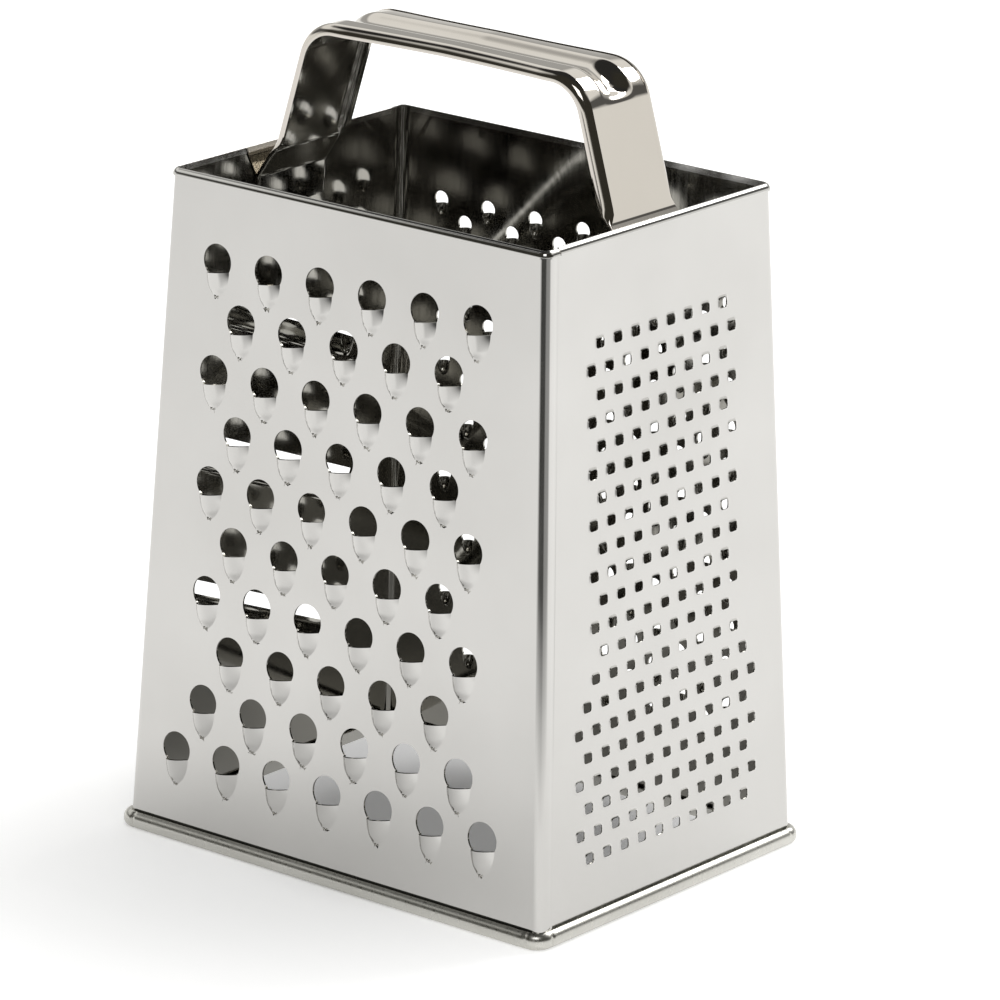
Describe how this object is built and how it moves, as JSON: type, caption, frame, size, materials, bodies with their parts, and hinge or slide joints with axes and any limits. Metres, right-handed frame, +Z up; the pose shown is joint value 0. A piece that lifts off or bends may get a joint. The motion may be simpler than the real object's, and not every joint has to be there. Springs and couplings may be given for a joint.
{
  "type": "box grater",
  "caption": "Four-sided kitchen grater of bright sheet steel, tapering upwards, with coarse, fine, medium and slicing sides, a rolled base rim and a ribbed strap handle.",
  "frame": {"origin": "middle of the footprint, on the surface the grater stands on", "axes": "+Z up, +Y from the coarse side towards the medium side, +X towards the fine side"},
  "size_m": [0.1316, 0.1026, 0.197],
  "materials": {
    "bright_sheet": "bright rolled sheet steel, lightly polished",
    "rim_steel": "bright rolled sheet steel",
    "polished_strap": "polished steel strap"
  },
  "bodies": {
    "root": {"coarse_slicer_sheet": "bright_sheet", "fine_medium_sheet": "bright_sheet", "base_rim": "rim_steel", "handle": "polished_strap"}
  },
  "joints": []
}
